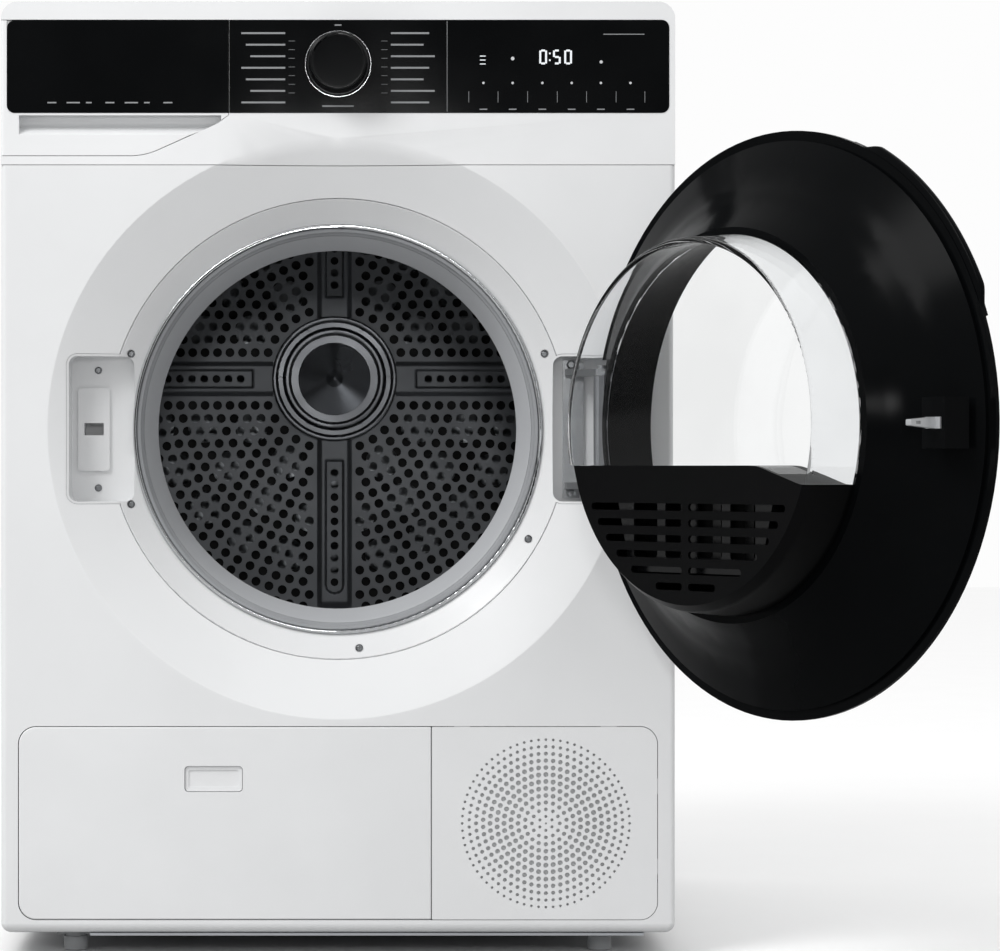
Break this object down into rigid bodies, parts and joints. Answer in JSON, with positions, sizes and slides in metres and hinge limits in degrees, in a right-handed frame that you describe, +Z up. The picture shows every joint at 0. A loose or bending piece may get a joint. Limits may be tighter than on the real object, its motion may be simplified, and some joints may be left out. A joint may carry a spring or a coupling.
{
  "type": "clothes dryer",
  "caption": "Front-loading heat-pump clothes dryer with an open round glass door, lint filter, water tank drawer and programme knob.",
  "frame": {"origin": "on the floor at the centre of the four feet", "axes": "+Z up, the door side faces -Y, +X to the right as seen from the front"},
  "size_m": [0.809, 1.0157, 0.85],
  "materials": {
    "base_plastic": "moulded grey plastic",
    "white_steel": "white enamel, semi gloss",
    "white_top": "white laminate",
    "white_plastic": "white satin plastic",
    "bezel_white": "white satin plastic",
    "galvanised": "galvanised sheet",
    "black_panel": "high gloss black",
    "circuit_board": "solder mask",
    "screw_steel": "zinc plated",
    "chrome": "polished",
    "seal_rubber": "soft grey rubber",
    "grey_plastic": "light grey plastic",
    "felt": "pressed felt",
    "aluminium": "bare fins",
    "black_steel": "black enamel",
    "motor_steel": "grey enamel",
    "belt_rubber": "ribbed belt rubber",
    "black_plastic": "moulded black plastic",
    "drum_steel": "stainless steel",
    "drum_back_steel": "dark steel",
    "hub_dark": "dark grey, polished centre",
    "roller_rubber": "hard rubber tyre",
    "door_black": "high gloss black",
    "door_black_matte": "black plastic",
    "clear_glass": "clear tempered pane",
    "clear_hood": "clear moulded plastic",
    "filter_grey": "dark grey plastic and mesh",
    "lever_plastic": "coloured plastic",
    "tank_plastic": "milky plastic"
  },
  "bodies": {
    "cabinet": {"base_tray": "base_plastic", "left_side_panel": "white_steel", "right_side_panel": "white_steel", "rear_panel": "galvanised", "worktop": "white_top", "front_panel": "white_steel", "fascia_frame": "white_plastic", "control_glass": "black_panel", "control_board": "circuit_board", "opening_bezel": "bezel_white", "bezel_screws": "screw_steel", "chrome_ring": "chrome", "door_seal": "seal_rubber", "drum_collar": "grey_plastic", "front_bulkhead": "galvanised", "felt_seal": "felt", "door_lock": "white_plastic", "hinge_bracket": "screw_steel", "tank_sleeve": "grey_plastic", "air_channel": "base_plastic", "inner_cover": "grey_plastic", "evaporator": "aluminium", "condenser": "aluminium", "compressor": "black_steel", "motor": "motor_steel", "drum_belt": "belt_rubber", "rear_duct": "galvanised", "rear_bulkhead": "galvanised", "rear_bearing": "screw_steel", "vent_grille": "white_plastic", "cable_inlet": "black_plastic"},
    "drum": {"drum_shell": "drum_steel", "drum_back": "drum_back_steel", "drum_lifters": "grey_plastic", "drum_hub": "hub_dark", "drum_shaft": "screw_steel"},
    "left_support_roller": {"left_roller": "roller_rubber"},
    "right_support_roller": {"right_roller": "roller_rubber"},
    "motor_rotor": {"motor_shaft": "screw_steel", "fan_wheel": "black_plastic"},
    "door": {"door_ring": "door_black", "door_glass": "clear_glass", "door_liner": "door_black", "door_hood": "clear_hood", "filter_housing": "door_black_matte", "door_hook": "screw_steel", "hinge_leaf": "screw_steel"},
    "filter": {"lint_filter": "filter_grey"},
    "flap": {"service_flap": "white_plastic"},
    "latch_button": {"flap_latch": "white_plastic"},
    "left_lever": {"left_cover_lever": "lever_plastic"},
    "right_lever": {"right_cover_lever": "lever_plastic"},
    "tank_drawer": {"water_tank": "tank_plastic", "drawer_front": "white_plastic", "drawer_insert": "black_panel"},
    "knob": {"program_knob": "black_panel"},
    "foot_front_left": {"front_left_foot": "black_plastic"},
    "foot_front_right": {"front_right_foot": "black_plastic"},
    "foot_rear_left": {"rear_left_foot": "black_plastic"},
    "foot_rear_right": {"rear_right_foot": "black_plastic"}
  },
  "joints": [
    {"name": "door_hinge", "type": "hinge", "parent": "cabinet", "child": "door", "pos_m": [0.231, -0.307, 0.47], "axis": [0, 0, 1], "range_deg": [-124.6, 3]},
    {"name": "filter_lift", "type": "slide", "parent": "door", "child": "filter", "axis": [0, 0, 1], "range_m": [0, 0.12]},
    {"name": "drum_spin", "type": "hinge", "parent": "cabinet", "child": "drum", "pos_m": [0, 0.02, 0.528], "axis": [0, 1, 0], "continuous": true},
    {"name": "left_roller_spin", "type": "hinge", "parent": "cabinet", "child": "left_support_roller", "pos_m": [-0.12267, -0.1955, 0.29729], "axis": [0, 1, 0], "continuous": true},
    {"name": "right_roller_spin", "type": "hinge", "parent": "cabinet", "child": "right_support_roller", "pos_m": [0.12267, -0.1955, 0.29729], "axis": [0, 1, 0], "continuous": true},
    {"name": "motor_spin", "type": "hinge", "parent": "cabinet", "child": "motor_rotor", "pos_m": [0.205, 0.1, 0.16], "axis": [0, 1, 0], "continuous": true},
    {"name": "drawer_slide", "type": "slide", "parent": "cabinet", "child": "tank_drawer", "axis": [0, -1, 0], "range_m": [0, 0.35]},
    {"name": "knob_turn", "type": "hinge", "parent": "cabinet", "child": "knob", "pos_m": [0, -0.316, 0.7939], "axis": [0, 1, 0], "continuous": true},
    {"name": "flap_hinge", "type": "hinge", "parent": "cabinet", "child": "flap", "pos_m": [-0.1, -0.3, 0.0333], "axis": [1, 0, 0], "range_deg": [0, 88]},
    {"name": "latch_press", "type": "slide", "parent": "flap", "child": "latch_button", "axis": [0, 1, 0], "range_m": [0, 0.003], "stiffness_N_per_m": 500},
    {"name": "left_lever_turn", "type": "hinge", "parent": "cabinet", "child": "left_lever", "pos_m": [-0.262, -0.27, 0.116], "axis": [0, 1, 0], "range_deg": [0, 90]},
    {"name": "right_lever_turn", "type": "hinge", "parent": "cabinet", "child": "right_lever", "pos_m": [0.022, -0.27, 0.116], "axis": [0, 1, 0], "range_deg": [0, 90]},
    {"name": "front_left_foot_screw", "type": "slide", "parent": "cabinet", "child": "foot_front_left", "axis": [0, 0, -1], "range_m": [0, 0.015]},
    {"name": "front_right_foot_screw", "type": "slide", "parent": "cabinet", "child": "foot_front_right", "axis": [0, 0, -1], "range_m": [0, 0.015]},
    {"name": "rear_left_foot_screw", "type": "slide", "parent": "cabinet", "child": "foot_rear_left", "axis": [0, 0, -1], "range_m": [0, 0.015]},
    {"name": "rear_right_foot_screw", "type": "slide", "parent": "cabinet", "child": "foot_rear_right", "axis": [0, 0, -1], "range_m": [0, 0.015]}
  ],
  "couplings": [
    {"joint": "left_roller_spin", "follows": "drum_spin", "ratio": -12.05},
    {"joint": "right_roller_spin", "follows": "drum_spin", "ratio": -12.05},
    {"joint": "motor_spin", "follows": "drum_spin", "ratio": 21.602}
  ]
}
